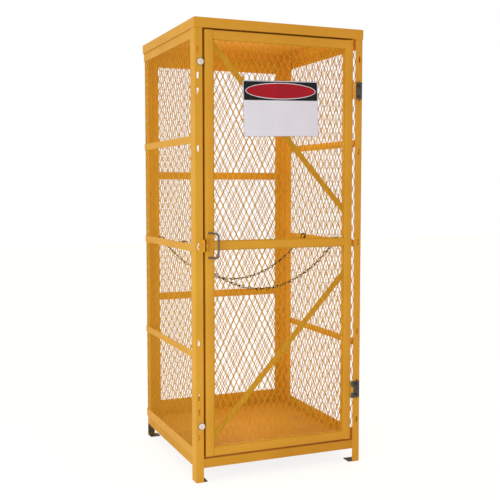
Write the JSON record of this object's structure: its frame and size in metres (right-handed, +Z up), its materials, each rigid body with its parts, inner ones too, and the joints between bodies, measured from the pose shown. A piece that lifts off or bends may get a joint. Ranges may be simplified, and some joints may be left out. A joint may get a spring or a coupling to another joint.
{
  "type": "gas cylinder cage",
  "caption": "Tall powder-coated steel cage for gas cylinders: expanded-mesh sides and back, hinged mesh door with pull handle and padlock lugs, roof cap, floor tray and restraint chains.",
  "frame": {"origin": "on the floor at the middle of the four anchor holes, under the middle of the cage", "axes": "+Z up, -Y out of the door side, +X to the right seen from the door side"},
  "size_m": [0.812, 0.8501, 2],
  "materials": {
    "frame_coat": "satin powder coat, golden yellow",
    "mesh_coat": "satin powder coat, golden yellow",
    "hinge_steel": "dark grey",
    "foot_steel": "dark, dull",
    "chain_steel": "dull zinc",
    "buffer_cap": "pale, matte",
    "handle_coat": "dark grey",
    "sign_panel": "blank plate"
  },
  "bodies": {
    "cage": {"back_bottom_rail": "frame_coat", "back_mesh": "mesh_coat", "back_rails": "frame_coat", "back_stile_left": "frame_coat", "back_stile_right": "frame_coat", "back_top_rail": "frame_coat", "chain_eyes": "chain_steel", "chain_front": "chain_steel", "chain_rear": "chain_steel", "door_buffers": "buffer_cap", "floor_tray": "frame_coat", "foot_front_left": "foot_steel", "foot_front_right": "foot_steel", "foot_rear_left": "foot_steel", "foot_rear_right": "foot_steel", "hinge_lower_post_leaf": "hinge_steel", "hinge_upper_post_leaf": "hinge_steel", "left_bottom_rail": "frame_coat", "left_mesh": "mesh_coat", "left_rails": "frame_coat", "left_top_rail": "frame_coat", "padlock_lug_post": "frame_coat", "post_front_left": "frame_coat", "post_front_left_side": "frame_coat", "post_front_right": "frame_coat", "post_front_right_side": "frame_coat", "post_rear_left": "frame_coat", "post_rear_left_side": "frame_coat", "post_rear_right": "frame_coat", "post_rear_right_side": "frame_coat", "right_bottom_rail": "frame_coat", "right_mesh": "mesh_coat", "right_rails": "frame_coat", "right_top_rail": "frame_coat", "roof_cap": "frame_coat"},
    "door": {"door_bottom_rail": "frame_coat", "door_brace_lower": "frame_coat", "door_brace_upper": "frame_coat", "door_handle": "handle_coat", "door_mesh": "mesh_coat", "door_mid_rail": "frame_coat", "door_stile_hinge": "frame_coat", "door_stile_latch": "frame_coat", "door_top_rail": "frame_coat", "hinge_lower_door_leaf": "frame_coat", "hinge_upper_door_leaf": "frame_coat", "padlock_lug_door": "frame_coat", "sign_plate": "sign_panel"}
  },
  "joints": [
    {"name": "door_swing", "type": "hinge", "parent": "cage", "child": "door", "pos_m": [0.362, -0.404, 1.035], "axis": [0, 0, 1], "range_deg": [0, 170]}
  ]
}
